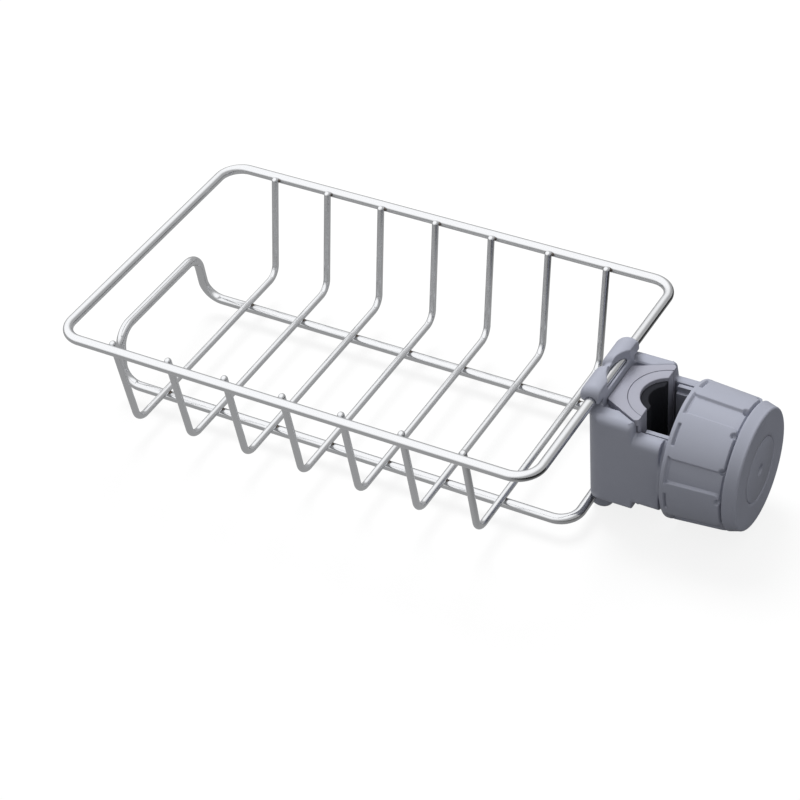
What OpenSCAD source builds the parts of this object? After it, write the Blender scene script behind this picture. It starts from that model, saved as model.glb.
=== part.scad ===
// Sponge holder: a wire basket that snaps into a screw clamp for a tap pipe.
// The origin lies on the pipe axis, level with the knob axis. +X points out of
// the knob, +Y away from the front, +Z up.

/* [Basket rim] */
// Length of the rim over the wire
rim_length = 175; // [140:1:220]
// Width of the rim over the wire
rim_width = 110; // [96:1:140]
// Diameter of the rim and base wire
frame_wire_d = 3.4; // [3:0.1:3.8]
// Bend radius of the rim corners, at the wire's centre
rim_corner_r = 8; // [6:0.5:14]

/* [Basket floor] */
// Diameter of the cross wires
cross_wire_d = 2.4; // [2:0.1:3]
// Height from the centre of the floor wires to the centre of the rim wire
basket_depth = 36.4; // [34:0.2:44]
// Distance between neighbouring cross wires
cross_pitch = 21.3; // [18:0.1:22]
// Distance from the rim's far end to the first cross wire
cross_first = 19.8; // [12:0.2:24]
// How far each leg leans in from its tip to the floor
cross_lean = 6.4; // [3:0.2:10]
// Height of the leg tips over the centre of the rim wire
tip_rise = 1; // [0.4:0.1:1.6]
// Bend radius between leg and floor, at the wire's centre
cross_bend_r = 5; // [3:0.5:8]
// Depth that a weld sinks one wire into the other
weld_sink = 0.25; // [0.1:0.05:0.4]

/* [Base loop] */
// Width between the centres of the two rails
base_width = 53.4; // [50:0.2:64]
// Bend radius of the base loop, at the wire's centre
base_corner_r = 7; // [4:0.5:8]
// Height of the turned-up end over the rails
base_end_rise = 19.5; // [17:0.5:24]
// Distance of the turned-up end from the rim's far end
base_end_inset = 1.3; // [0:0.1:4]
// Width that the turned-up end loses on each side
base_end_taper = 2.7; // [0:0.1:5]

/* [Clamp body] */
// Distance from the pipe axis to the wires that carry the basket
clip_reach = 19.6; // [19.6:0.1:22]
// Height of the rim wire over the knob axis
rim_height = 21.4; // [21:0.1:23]
// Width of the block
block_width = 36.8; // [36.4:0.1:38]
// Height of the block's top over the knob axis
block_top = 18.6; // [18.2:0.1:18.8]
// Distance from the pipe axis to the end of the block
block_front = 4.6; // [4.2:0.1:7]
// Depth of the block behind the centres of the wires
block_cover = 1.1; // [0.9:0.05:1.2]
// Radius of the block's upright back corners
block_corner_r = 6; // [4:0.5:9]
// Radius of the block's upper long edges
block_edge_r = 3; // [1.5:0.1:3.2]
// Radius of the block's lower long edges
block_foot_r = 1.6; // [0.6:0.1:3]
// Height of the arms' roots to each side of the knob axis
root_half = 13.6; // [11:0.1:15]
// Radius of the roots' long edges
root_edge_r = 3.2; // [1:0.1:4]
// Distance from the pipe axis to the end of the roots, where the thread starts
root_end = 4.6; // [3:0.1:5]
// Radius of the threaded arms
arm_r = 19.1; // [18.6:0.1:19.4]
// Space between the two arms
arm_gap = 27; // [25.6:0.2:27.4]
// Distance from the pipe axis to the ends of the arms
arm_end = 23.2; // [18:0.1:23.4]

/* [Wire clips] */
// Length of the saddle on the rim
saddle_length = 30.8; // [27:0.2:32]
// Radius of the saddle's two lobes, round the rim wire
saddle_r = 4.6; // [4:0.1:4.7]
// Radius of the lobes' rounded ends
lobe_end_r = 3; // [1.5:0.1:3.4]
// Width of the gap between the lobes' ends
lobe_split = 0.8; // [0.2:0.1:2]
// Radius of the waist between the lobes
waist_r = 3.2; // [2.8:0.1:3.6]
// Depth that the saddle reaches below the centre of the rim wire
saddle_drop = 0.4; // [0:0.1:0.8]
// Radius of the scoop that shows the wire
scoop_r = 14; // [10:0.5:16]
// Distance that the scoop passes the centre of the wire
scoop_past = 0.2; // [0:0.1:0.4]
// Thickness of the neck that carries the saddle
neck_t = 2.4; // [2:0.1:3]
// Length of the neck
neck_length = 23; // [18:0.5:24]
// Room left on the base wire beyond the hook at each end of the slide
slide_spare = 0.6; // [0.2:0.1:2]
// Radius of the hook
hook_r = 4.6; // [4.2:0.1:4.8]
// Offset of the hook's centre from the base wire, forward and down
hook_shift = 1.6; // [1.2:0.1:1.8]
// Radius of the hook's rounded ends
hook_end_r = 1.6; // [0.8:0.1:3]
// Radial play of a wire in its clip
wire_play = 0.08; // [0.03:0.01:0.1]
// Room between the base wire's bore and the block's underside
wire_roof = 0.27; // [0.2:0.01:0.6]
// How far the basket slides to each side of the clamp's middle
slide_half = 6; // [3:0.5:6]
// Place of the basket along that slide
slide_rest = -3.1; // [-3.2:0.1:3]

/* [Jaw pads] */
// Height of the pads' top over the knob axis
jaw_top = 18.8; // [18.2:0.1:19.4]
// Depth of the pads' underside below the knob axis
pad_bottom = 16.2; // [16:0.1:17.2]
// Distance from the pipe axis to the flange's back edge
flange_back = 16.8; // [16.4:0.1:17]
// Half width of the flange at the pads' ends
flange_half = 15.6; // [15.4:0.1:16]
// Angle that each side of the flange closes in towards the back
flange_slant = 27.6; // [25:0.2:29]
// Thickness of the flange
flange_t = 2.3; // [1.6:0.1:3]
// Radius of the flange's back corners
flange_back_r = 1; // [0.4:0.1:2]
// Radius of the flange's front corners
flange_front_r = 1.2; // [0.6:0.1:1.8]
// Play of the flange in its recess, all round
flange_play = 0.2; // [0.1:0.05:0.4]
// Gap under the flange, and under the inner pad
seat_gap = 0.1; // [0.05:0.05:0.3]
// Half width of the bay in the recess, beside the neck
bay_half = 12; // [11.6:0.1:12.4]
// Radius of the outer pad's wall
outer_pad_r = 14.75; // [14.4:0.05:14.9]
// Radius of the inner pad
inner_pad_r = 12.8; // [12:0.1:13.2]
// Radius of the inner pad's bore
inner_bore_r = 9; // [8.8:0.1:9.6]
// Radius of the gripping face, for the thinnest pipe
pipe_r = 6.4; // [6:0.1:7]
// Distance from the pipe axis to the pads' ends
pad_cut = 3.8; // [3:0.1:4]
// Play of each pad in its seat
pad_play = 0.15; // [0.1:0.05:0.3]
// Thickness of the outer pad's bottom ledge
ledge_t = 1.5; // [1:0.1:2.4]
// Radius of the opening in that ledge
ledge_r = 10.4; // [9.8:0.1:11]
// Depth of the liner's top below the pads' top
liner_drop = 1.2; // [0.6:0.1:3]
// Gap of the bond line behind the liner
bond_gap = 0.05; // [0.02:0.01:0.08]

/* [Thrust block] */
// Gap between the thrust face and the thinnest pipe
thrust_gap = 0.2; // [0.1:0.1:1]
// Play of the block between the arms, each side
guide_play = 0.5; // [0.2:0.05:0.6]
// Height of the cheeks to each side of the axis
cheek_half = 13.4; // [12.8:0.1:13.6]
// Thickness of the cheeks at the top
cheek_t = 1.5; // [1.2:0.1:2]
// Thickness of the step inside each cheek
cheek_step = 1.1; // [0.6:0.1:1.6]
// Depth of that step below the cheek's edge
cheek_step_drop = 2; // [1:0.1:3]
// Distance from the pipe axis to the cheeks' ends
cheek_reach = 2.2; // [1.6:0.1:2.2]
// Thickness of the rubber pad at its middle
rubber_t = 2.5; // [1.5:0.1:4]
// Height of the rubber pad to each side of the axis
rubber_half = 10.5; // [8:0.1:11]
// Radius of the rubber pad's hollow face
rubber_hollow_r = 12; // [10:0.5:20]
// Thickness of the shoe behind the rubber
shoe_t = 3; // [2:0.1:4]
// Radius of the stem
stem_r = 7; // [5:0.1:8]
// Thickness of the end disc
disc_t = 2; // [1.5:0.1:3]
// Radius of the spigot that the knob turns on
spigot_r = 4; // [3.4:0.1:4.4]
// Radial play of the knob on the spigot
spigot_play = 0.08; // [0.03:0.01:0.1]
// End play of the knob on the spigot, each side
end_play = 0.1; // [0.05:0.05:0.2]

/* [Retaining screw] */
// Radius of the screw's shank
screw_r = 1.5; // [1.2:0.1:1.8]
// Length of the shank
screw_length = 9; // [6:0.5:10]
// Radius of the screw's head
screw_head_r = 2.8; // [2.4:0.1:3.2]
// Height of the screw's head
screw_head_h = 1.4; // [1:0.1:1.4]
// Depth that the screw's thread bites into its pilot hole
screw_bite = 0.2; // [0.1:0.05:0.3]
// Radius of the washer
washer_r = 5.6; // [5:0.1:5.8]
// Thickness of the washer
washer_t = 0.6; // [0.4:0.1:0.6]

/* [Knob] */
// Distance from the pipe axis to the knob's rear edge
knob_rear = 6.6; // [6:0.1:8]
// Length of the knob
knob_length = 24.2; // [24.2:0.1:28]
// Radius of the knob at its rear lip
lip_r = 22.6; // [22:0.1:23.4]
// Width of the rear lip
lip_w = 1.6; // [1:0.1:2.2]
// Radius of the grips at the rear
grip_rear_r = 22.5; // [21.8:0.1:23]
// Radius of the grips at the front
grip_front_r = 21.3; // [20.8:0.1:21.8]
// Radius of the knob's front ring
ring_r = 21; // [20.4:0.1:21.6]
// Radius of the knob's face
face_r = 19.8; // [19:0.1:20.2]
// Play of the knob's bore on the arms
thread_play = 0.4; // [0.2:0.05:0.6]
// Distance from the knob's face to the front ring's groove
groove_setback = 4.7; // [4:0.1:5.4]
// Width of that groove
groove_w = 0.7; // [0.4:0.1:1.2]
// Depth of that groove
groove_d = 0.7; // [0.4:0.1:1]
// Number of channels round the knob
channel_count = 6; // [4:1:8]
// Width of a channel
channel_w = 7; // [4:0.2:8]
// Depth of a channel
channel_d = 0.8; // [0.6:0.1:1]
// Radius of the channels' edges
channel_edge_r = 0.6; // [0.3:0.1:0.8]
// Turn of the first channel from the level
channel_turn = 9; // [0:1:30]
// Radius of the notches at the front ends of the grips
notch_r = 1.2; // [0.8:0.1:1.6]
// Angle from the middle of a channel to its notches
notch_angle = 14; // [12:0.5:16]
// Width of the slots in front of the rear lip
lip_slot_w = 0.8; // [0.4:0.1:1.2]
// Depth of these slots below the grips
lip_slot_d = 1.3; // [0.8:0.1:1.6]
// Angle that a slot spans
lip_slot_span = 18; // [10:1:22]
// Radius of the cap in the face
cap_r = 10.8; // [9:0.1:12]
// Thickness of the cap
cap_t = 1.5; // [1:0.1:1.5]
// Play of the cap in its seat
cap_play = 0.08; // [0.05:0.01:0.15]
// Radius of the dimple in the cap
dimple_r = 1.2; // [0.6:0.1:2]
// Thickness of the wall that turns on the spigot
web_t = 2; // [1.5:0.1:2.5]

/* [Hidden] */
$fn = 48;

steel = [0.78, 0.79, 0.80];
plastic = [0.62, 0.62, 0.67];
light_plastic = [0.70, 0.70, 0.74];
rubber = [0.10, 0.10, 0.11];

// Cuts run past the faces they open by this much
past = 1;
// Bends and tips are this much thinner than the straights, as bent wire is
thinning = 0.01;
// Length that a straight reaches into its bends
lap = 0.15;

// Basket, measured from the middle of the rim at the height of its wire
rim_half_x = (rim_length - frame_wire_d) / 2;
rim_half_y = (rim_width - frame_wire_d) / 2;
frame_r = frame_wire_d / 2;
cross_r = cross_wire_d / 2;
lean_angle = atan(cross_lean / (basket_depth + tip_rise));
leg_at_rim = rim_half_y - (frame_r + cross_r - weld_sink) / cos(lean_angle);
leg_top = leg_at_rim + tip_rise * tan(lean_angle);
leg_foot = leg_at_rim - basket_depth * tan(lean_angle);
rail_half = base_width / 2;
rail_z = -basket_depth - cross_r - frame_r + weld_sink;
base_far_x = -rim_half_x + base_end_inset;
basket_place = [-clip_reach - rim_half_x, slide_rest, rim_height];

// Clamp
base_height = rim_height + rail_z;
block_back = clip_reach + block_cover;
wire_bore_r = frame_r + wire_play;
block_bottom = -(base_height + wire_bore_r + wire_roof);
pocket_r = outer_pad_r + pad_play;
flange_z = jaw_top - flange_t;
neck_front = flange_back + flange_play;
hook_z = base_height - hook_shift;
hook_length = base_width - 2 * (base_corner_r + slide_half + slide_spare);

// Thrust block and knob, along X
thrust_face = pipe_r + thrust_gap;
shoe_x = thrust_face + rubber_t;
guide_half = arm_gap / 2 - guide_play;
cheek_in = guide_half - cheek_t;
knob_front = knob_rear + knob_length;
cap_x = knob_front - cap_t;
chamber_depth = washer_t + screw_head_h + 2 * end_play;
web_front = cap_x - chamber_depth;
web_back = web_front - web_t;
disc_front = web_back - end_play;
spigot_end = web_front + end_play;
groove_x = knob_front - groove_setback;
grip_back = knob_rear + lip_w;
grip_slope = atan((grip_rear_r - grip_front_r) / (groove_x - grip_back));
channel_step = 360 / channel_count;

function unit(v) = v / norm(v);

// Angles that turn the X axis onto ex and the Y axis onto ey
function turn_to(ex, ey) =
    abs(ex.z) > 0.999999
        ? [0, -90 * sign(ex.z), atan2(-ey.x, ey.y)]
        : [atan2(ey.z, cross(ex, ey).z), -asin(ex.z), atan2(ex.y, ex.x)];

// Straight round rod between two points
module rod(a, b, r) {
    d = b - a;
    translate(a)
        rotate([0, acos(d.z / norm(d)), atan2(d.y, d.x)])
            cylinder(h = norm(d), r = r);
}

// Length that a bend takes from the straight on each side of its corner
function bend_reach(a, corner, b, bend_r) =
    bend_r * tan(acos(unit(corner - a) * unit(b - corner)) / 2);

// Round bend in a wire, where it turns from a towards b at corner
module bend(a, corner, b, bend_r, r) {
    u = unit(corner - a);
    w = unit(b - corner);
    inward = unit(w - u * (u * w));
    start = corner - u * bend_reach(a, corner, b, bend_r);
    translate(start + inward * bend_r)
        rotate(turn_to(-inward, u))
            rotate_extrude(angle = acos(u * w))
                translate([bend_r, 0])
                    circle(r - thinning);
}

// Wire through a list of points, with one bend radius, as a loop or with two ends
module bent_wire(points, bend_r, r, loop = false) {
    n = len(points);
    for (i = [0 : loop ? n - 1 : n - 2]) {
        a = points[i];
        b = points[(i + 1) % n];
        u = unit(b - a);
        has_start = loop || i > 0;
        has_end = loop || i < n - 2;
        start_cut = has_start ? bend_reach(points[(i + n - 1) % n], a, b, bend_r) - lap : 0;
        end_cut = has_end ? bend_reach(a, b, points[(i + 2) % n], bend_r) - lap : 0;
        rod(a + u * start_cut, b - u * end_cut, r);
        if (has_end)
            bend(a, b, points[(i + 2) % n], bend_r, r);
    }
}

module rim_wire() {
    color(steel)
        translate(basket_place)
            bent_wire([[rim_half_x, rim_half_y, 0], [-rim_half_x, rim_half_y, 0],
                       [-rim_half_x, -rim_half_y, 0], [rim_half_x, -rim_half_y, 0]],
                      rim_corner_r, frame_r, true);
}

// Closed loop under the floor, with its far end turned up
module base_wire() {
    end_half = rail_half - base_end_taper;
    end_z = rail_z + base_end_rise;
    color(steel)
        translate(basket_place)
            bent_wire([[rim_half_x, -rail_half, rail_z], [rim_half_x, rail_half, rail_z],
                       [base_far_x, rail_half, rail_z], [base_far_x, end_half, end_z],
                       [base_far_x, -end_half, end_z], [base_far_x, -rail_half, rail_z]],
                      base_corner_r, frame_r, true);
}

// One U-shaped wire across the basket, with rounded tips
module cross_wire(i) {
    x = -rim_half_x + cross_first + cross_pitch * i;
    tips = [[x, -leg_top, tip_rise], [x, leg_top, tip_rise]];
    color(steel)
        translate(basket_place) {
            bent_wire([tips[0], [x, -leg_foot, -basket_depth],
                       [x, leg_foot, -basket_depth], tips[1]],
                      cross_bend_r, cross_r);
            for (p = tips)
                translate(p)
                    sphere(cross_r - thinning);
        }
}

// Rectangle with all four corners rounded, centred on the origin
module round_rect(w, h, r) {
    square([w - 2 * r, h], center = true);
    square([w, h - 2 * r], center = true);
    for (sx = [-1, 1], sy = [-1, 1])
        translate([sx * (w / 2 - r), sy * (h / 2 - r)])
            circle(r);
}

// Turns a shape drawn in Y and Z so that it is extruded from x = from to x = to
module along_x(from, to) {
    translate([from, 0, 0])
        rotate([90, 0, 90])
            linear_extrude(to - from)
                children();
}

// Round bar along X between two values of x
module bar_x(from, to, r) {
    translate([from, 0, 0])
        rotate([0, 90, 0])
            cylinder(h = to - from, r = r);
}

// Points on an arc, from one angle to the next
function arc(centre, r, from, to, steps = 8) =
    [for (i = [0 : steps])
        let (turn = from + (to - from) * i / steps)
            centre + r * [cos(turn), sin(turn)]];

// Half outline of the outer pad's flange in plan, grown all round by some play
function flange_side(play) =
    let (reach = flange_half * cos(flange_slant) + pad_cut * sin(flange_slant),
         front_x = -pad_cut - flange_front_r,
         back_x = -flange_back + flange_back_r,
         front_y = (reach - flange_front_r + front_x * sin(flange_slant)) / cos(flange_slant),
         back_y = (reach - flange_back_r + back_x * sin(flange_slant)) / cos(flange_slant))
        concat(arc([front_x, front_y], flange_front_r + play, 0, 90 + flange_slant),
               arc([back_x, back_y], flange_back_r + play, 90 + flange_slant, 180));

// Plan of the flange, with the same play
module flange_plan(play) {
    side = flange_side(play);
    last = len(side) - 1;
    polygon(concat(side, [for (i = [last : -1 : 0]) [side[i].x, -side[i].y]]));
}

// Block behind the jaw: its plan has round back corners, its end view round edges
module block() {
    height = block_top + block_bottom;
    intersection() {
        translate([-block_back, 0, -block_bottom])
            linear_extrude(height)
                intersection() {
                    translate([block_back, 0])
                        round_rect(2 * block_back, block_width, block_corner_r);
                    translate([0, -block_width / 2])
                        square([block_back - block_front, block_width]);
                }
        along_x(-block_back - past, -block_front + past)
            intersection() {
                translate([0, -block_bottom])
                    round_rect(block_width, 2 * height, block_edge_r);
                translate([0, block_top])
                    round_rect(block_width, 2 * height, block_foot_r);
            }
    }
}

// Round bar along Y with rounded ends, centred on the origin
module pill(length, r, end_r) {
    rotate([90, 0, 0])
        rotate_extrude()
            intersection() {
                round_rect(2 * r, length, end_r);
                translate([0, -length])
                    square([2 * r, 2 * length]);
            }
}

// Saddle over the rim wire: two lobes and a waist, cut flat beside the flange, with
// a scoop that shows the wire
module rim_saddle() {
    lobe_length = (saddle_length - lobe_split) / 2;
    difference() {
        translate([-clip_reach, 0, rim_height]) {
            for (side = [-1, 1])
                translate([0, side * (lobe_split + lobe_length) / 2, 0])
                    pill(lobe_length, saddle_r, lobe_end_r);
            rotate([90, 0, 0])
                cylinder(h = lobe_length, r = waist_r, center = true);
        }
        translate([-clip_reach - 2 * saddle_r, -saddle_length, rim_height - 2 * saddle_r])
            cube([4 * saddle_r, 2 * saddle_length, 2 * saddle_r - saddle_drop]);
        translate([-neck_front, -saddle_length, rim_height - 2 * saddle_r])
            cube([2 * saddle_r, 2 * saddle_length, 4 * saddle_r]);
        translate([scoop_r - clip_reach - scoop_past, 0, rim_height])
            cylinder(h = saddle_r + past, r = scoop_r);
    }
}

// Hook under the base wire, flush with the block's back, where the wire snaps in
module base_hook() {
    difference() {
        translate([-clip_reach + hook_shift, 0, hook_z])
            pill(hook_length, hook_r, hook_end_r);
        translate([-block_back - 2 * hook_r, -hook_length, hook_z - 2 * hook_r])
            cube([2 * hook_r, 2 * hook_length, 4 * hook_r]);
    }
}

// Bore for a wire
module wire_way(z, length) {
    translate([-clip_reach, 0, z])
        rotate([90, 0, 0])
            cylinder(h = length + 2 * past, r = wire_bore_r, center = true);
}

module clamp_body() {
    low = hook_z - hook_r - past;
    color(plastic)
        difference() {
            union() {
                block();
                // Arms: square-sided roots, then the round threaded part
                along_x(-block_front, root_end)
                    round_rect(block_width, 2 * root_half, root_edge_r);
                bar_x(root_end, arm_end, arm_r);
                rim_saddle();
                // Neck under the saddle
                translate([-neck_front - neck_t, -neck_length / 2, flange_z - seat_gap])
                    cube([neck_t, neck_length, rim_height - flange_z + seat_gap]);
                base_hook();
            }
            // Space between the arms, and the round pocket for the pads
            translate([-pad_cut, -arm_gap / 2, -arm_r - past])
                cube([arm_end + pad_cut + past, arm_gap, 2 * (arm_r + past)]);
            translate([0, 0, low])
                linear_extrude(block_top + past - low)
                    intersection() {
                        circle(pocket_r);
                        translate([-pocket_r, -pocket_r])
                            square([pocket_r - pad_cut + pad_play, 2 * pocket_r]);
                    }
            // Recess for the flange, and the bay that stays open beside it
            translate([0, 0, flange_z - seat_gap])
                linear_extrude(flange_t + past)
                    union() {
                        flange_plan(flange_play);
                        translate([-neck_front, -bay_half])
                            square([neck_front - pad_cut, 2 * bay_half]);
                    }
            wire_way(rim_height, saddle_length);
            wire_way(base_height, hook_length);
        }
}

// Everything beyond the pads' flat ends
module beyond_cut() {
    translate([-pad_cut, -block_width / 2, -pad_bottom - past])
        cube([block_width, block_width, jaw_top + pad_bottom + 2 * past]);
}

module outer_pad() {
    seat_r = inner_pad_r + pad_play;
    color(light_plastic)
        difference() {
            union() {
                translate([0, 0, flange_z])
                    linear_extrude(flange_t)
                        flange_plan(0);
                translate([0, 0, -pad_bottom])
                    linear_extrude(flange_z + pad_bottom)
                        intersection() {
                            circle(outer_pad_r);
                            flange_plan(0);
                        }
            }
            translate([0, 0, -pad_bottom + ledge_t])
                cylinder(h = jaw_top + pad_bottom, r = seat_r);
            translate([0, 0, -pad_bottom - past])
                cylinder(h = jaw_top + pad_bottom, r = ledge_r);
        }
}

module inner_pad() {
    foot = -pad_bottom + ledge_t + seat_gap;
    color(light_plastic)
        difference() {
            translate([0, 0, foot])
                cylinder(h = jaw_top - foot, r = inner_pad_r);
            translate([0, 0, foot - past])
                cylinder(h = jaw_top - foot + 2 * past, r = inner_bore_r);
            beyond_cut();
        }
}

// Rubber lining that grips the pipe
module grip_liner() {
    foot = -pad_bottom + ledge_t + seat_gap;
    color(rubber)
        difference() {
            translate([0, 0, foot])
                cylinder(h = jaw_top - liner_drop - foot, r = inner_bore_r - bond_gap);
            translate([0, 0, foot - past])
                cylinder(h = jaw_top - foot + 2 * past, r = pipe_r);
            beyond_cut();
        }
}

// End view of one cheek: thin at its edges, thicker between its two steps
module cheek_section() {
    step_half = cheek_half - cheek_step_drop;
    translate([cheek_in, -cheek_half])
        square([cheek_t, 2 * cheek_half]);
    translate([cheek_in - cheek_step, -step_half])
        square([cheek_step + cheek_t, 2 * step_half]);
}

module thrust_block() {
    step_half = cheek_half - cheek_step_drop;
    color(plastic)
        difference() {
            union() {
                for (side = [0, 1])
                    mirror([0, side, 0])
                        along_x(-cheek_reach, disc_front)
                            cheek_section();
                translate([shoe_x, -guide_half, -step_half])
                    cube([shoe_t, 2 * guide_half, 2 * step_half]);
                bar_x(shoe_x, disc_front, stem_r);
                intersection() {
                    bar_x(disc_front - disc_t, disc_front, arm_r - guide_play);
                    translate([0, -guide_half, -arm_r])
                        cube([disc_front, 2 * guide_half, 2 * arm_r]);
                }
                bar_x(shoe_x, spigot_end, spigot_r);
            }
            bar_x(spigot_end - screw_length - past, spigot_end + past, screw_r - screw_bite);
        }
}

// Rubber block with a hollow face towards the pipe
module thrust_pad() {
    width = 2 * (cheek_in - cheek_step - guide_play);
    color(rubber)
        difference() {
            translate([0, -width / 2, -rubber_half])
                cube([shoe_x, width, 2 * rubber_half]);
            translate([thrust_face - rubber_hollow_r, 0, -rubber_half - past])
                cylinder(h = 2 * (rubber_half + past), r = rubber_hollow_r);
        }
}

module retaining_screw() {
    head_x = spigot_end + washer_t;
    color(steel)
        difference() {
            union() {
                bar_x(head_x - screw_length, head_x, screw_r);
                bar_x(head_x, head_x + screw_head_h, screw_head_r);
            }
            // Cross recess
            for (turn = [0, 90])
                translate([head_x + screw_head_h / 3, 0, 0])
                    rotate([turn, 0, 0])
                        translate([0, -screw_head_r / 2, -screw_r / 5])
                            cube([screw_head_h, screw_head_r, 2 * screw_r / 5]);
        }
}

module retaining_washer() {
    color(steel)
        difference() {
            bar_x(spigot_end, spigot_end + washer_t, washer_r);
            bar_x(spigot_end - past, spigot_end + washer_t + past, screw_r + end_play);
        }
}

// Half outline of the knob, with the radius along X and the length along Y
module knob_outline() {
    edge = (knob_front - groove_x - groove_w) / 4;
    polygon([[0, knob_rear], [lip_r - edge / 4, knob_rear], [lip_r, knob_rear + edge / 4],
             [lip_r, grip_back], [grip_rear_r, grip_back],
             [grip_front_r, groove_x - groove_w / 2],
             [grip_front_r - groove_d, groove_x - groove_w / 4],
             [grip_front_r - groove_d, groove_x + groove_w / 4],
             [ring_r, groove_x + groove_w / 2],
             [(ring_r + face_r) / 2 + edge / 4, knob_front - edge / 2],
             [face_r, knob_front], [0, knob_front]]);
}

// Bar that cuts one channel: flat floor and rounded edges, drawn at the top of the knob
module channel_cutter() {
    length = groove_x - grip_back + 2 * groove_w;
    half = channel_w / 2;
    edge = channel_edge_r;
    crown = grip_front_r - sqrt(grip_front_r * grip_front_r - half * half);
    translate([grip_back + lip_slot_w / 2, 0, grip_rear_r - crown - channel_d])
        rotate([0, grip_slope, 0])
            along_x(0, length)
                difference() {
                    union() {
                        translate([-half, 0])
                            square([channel_w, 3 * channel_d]);
                        translate([-half - edge, channel_d - edge])
                            square([channel_w + 2 * edge, 2 * channel_d + edge]);
                    }
                    for (side = [-1, 1])
                        translate([side * (half + edge), channel_d - edge])
                            circle(edge);
                }
}

module knob_shell() {
    bore_r = arm_r + thread_play;
    color(plastic)
        difference() {
            rotate([90, 0, 90])
                rotate_extrude()
                    knob_outline();
            for (i = [0 : channel_count - 1])
                rotate([channel_turn + channel_step * i, 0, 0]) {
                    channel_cutter();
                    for (side = [-1, 1])
                        rotate([side * notch_angle, 0, 0])
                            translate([groove_x - groove_w / 2 - notch_r / 2, 0,
                                       grip_front_r - groove_d])
                                cylinder(h = 2 * channel_d, r = notch_r);
                    for (half = [0, 1])
                        rotate([half * channel_step / 2 - lip_slot_span / 2 + 90, 0, 0])
                            translate([grip_back, 0, 0])
                                rotate([90, 0, 90])
                                    rotate_extrude(angle = lip_slot_span)
                                        translate([grip_rear_r - lip_slot_d, 0])
                                            square([2 * lip_slot_d, lip_slot_w]);
                }
            bar_x(knob_rear - past, web_back, bore_r);
            bar_x(web_back - past, web_front + past, spigot_r + spigot_play);
            bar_x(web_front, cap_x + past, washer_r + pad_play);
            bar_x(cap_x, knob_front + past, cap_r + cap_play);
        }
}

module knob_cap() {
    color(plastic)
        difference() {
            bar_x(cap_x, knob_front, cap_r);
            translate([knob_front + dimple_r / 2, 0, 0])
                sphere(dimple_r);
        }
}

rim_wire();
base_wire();
cross_wire(0);  // cross_wire_1
cross_wire(1);  // cross_wire_2
cross_wire(2);  // cross_wire_3
cross_wire(3);  // cross_wire_4
cross_wire(4);  // cross_wire_5
cross_wire(5);  // cross_wire_6
cross_wire(6);  // cross_wire_7
clamp_body();
outer_pad();
inner_pad();
grip_liner();
thrust_block();
thrust_pad();
retaining_screw();
retaining_washer();
knob_shell();
knob_cap();
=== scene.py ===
# Sponge holder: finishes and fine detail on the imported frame
import math
import bpy
import bmesh
from mathutils import Matrix, Vector


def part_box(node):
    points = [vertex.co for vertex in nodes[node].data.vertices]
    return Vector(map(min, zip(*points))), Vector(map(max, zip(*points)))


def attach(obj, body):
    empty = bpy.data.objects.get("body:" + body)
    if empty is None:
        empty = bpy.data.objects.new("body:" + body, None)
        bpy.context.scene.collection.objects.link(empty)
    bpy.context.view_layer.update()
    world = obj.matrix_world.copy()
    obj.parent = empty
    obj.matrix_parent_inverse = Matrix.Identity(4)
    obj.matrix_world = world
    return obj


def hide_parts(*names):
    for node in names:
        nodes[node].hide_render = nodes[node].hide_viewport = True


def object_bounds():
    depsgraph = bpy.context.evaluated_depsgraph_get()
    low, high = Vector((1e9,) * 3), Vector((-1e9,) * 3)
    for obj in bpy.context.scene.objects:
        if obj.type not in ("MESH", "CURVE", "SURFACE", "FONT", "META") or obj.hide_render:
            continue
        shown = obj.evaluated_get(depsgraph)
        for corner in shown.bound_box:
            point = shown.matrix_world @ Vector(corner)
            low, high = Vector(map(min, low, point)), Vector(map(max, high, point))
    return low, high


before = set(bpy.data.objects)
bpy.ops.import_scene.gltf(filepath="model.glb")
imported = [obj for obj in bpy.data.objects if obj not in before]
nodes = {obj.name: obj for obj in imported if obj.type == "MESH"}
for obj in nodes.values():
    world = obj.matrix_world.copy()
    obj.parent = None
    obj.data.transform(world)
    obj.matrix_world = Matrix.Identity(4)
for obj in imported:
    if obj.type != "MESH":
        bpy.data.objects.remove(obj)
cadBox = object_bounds()
mm = 0.001
print("frame loaded:", len(nodes), "nodes")

scene = bpy.context.scene
scene.view_settings.view_transform = "Standard"

# Camera, three quarters of a metre away with a long lens
cameraPlace = {
    "location": (0.224837, -0.521379, 0.489538),
    "right": (0.874054, 0.482060, -0.060396),
    "up": (-0.267317, 0.581004, 0.768750),
    "back": (0.405674, -0.655784, 0.636691),
    "lens": 106.68,
    "sensor": 36,
}


def makeCamera(place):
    data = bpy.data.cameras.new("camera")
    data.lens = place["lens"]
    data.sensor_width = place["sensor"]
    camera = bpy.data.objects.new("camera", data)
    turn = Matrix((place["right"], place["up"], place["back"])).transposed().to_4x4()
    camera.matrix_world = Matrix.Translation(place["location"]) @ turn
    scene.collection.objects.link(camera)
    scene.camera = camera


makeCamera(cameraPlace)


# Colours are written as sRGB hex and used as linear values
def toLinear(hexColour):
    values = [int(hexColour[i:i + 2], 16) / 255 for i in (1, 3, 5)]
    return [v / 12.92 if v <= 0.04045 else ((v + 0.055) / 1.055) ** 2.4 for v in values] + [1]


# Adds a node, sets its properties, and fills or links its inputs
def addNode(tree, kind, settings=None, inputs=None):
    node = tree.nodes.new(kind)
    for name, value in (settings or {}).items():
        setattr(node, name, value)
    for name, value in (inputs or {}).items():
        if isinstance(value, bpy.types.NodeSocket):
            tree.links.new(value, node.inputs[name])
        else:
            node.inputs[name].default_value = value
    return node


def newMaterial(name):
    material = bpy.data.materials.new(name)
    material.use_nodes = True
    material.node_tree.nodes.clear()
    return material, material.node_tree


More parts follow.
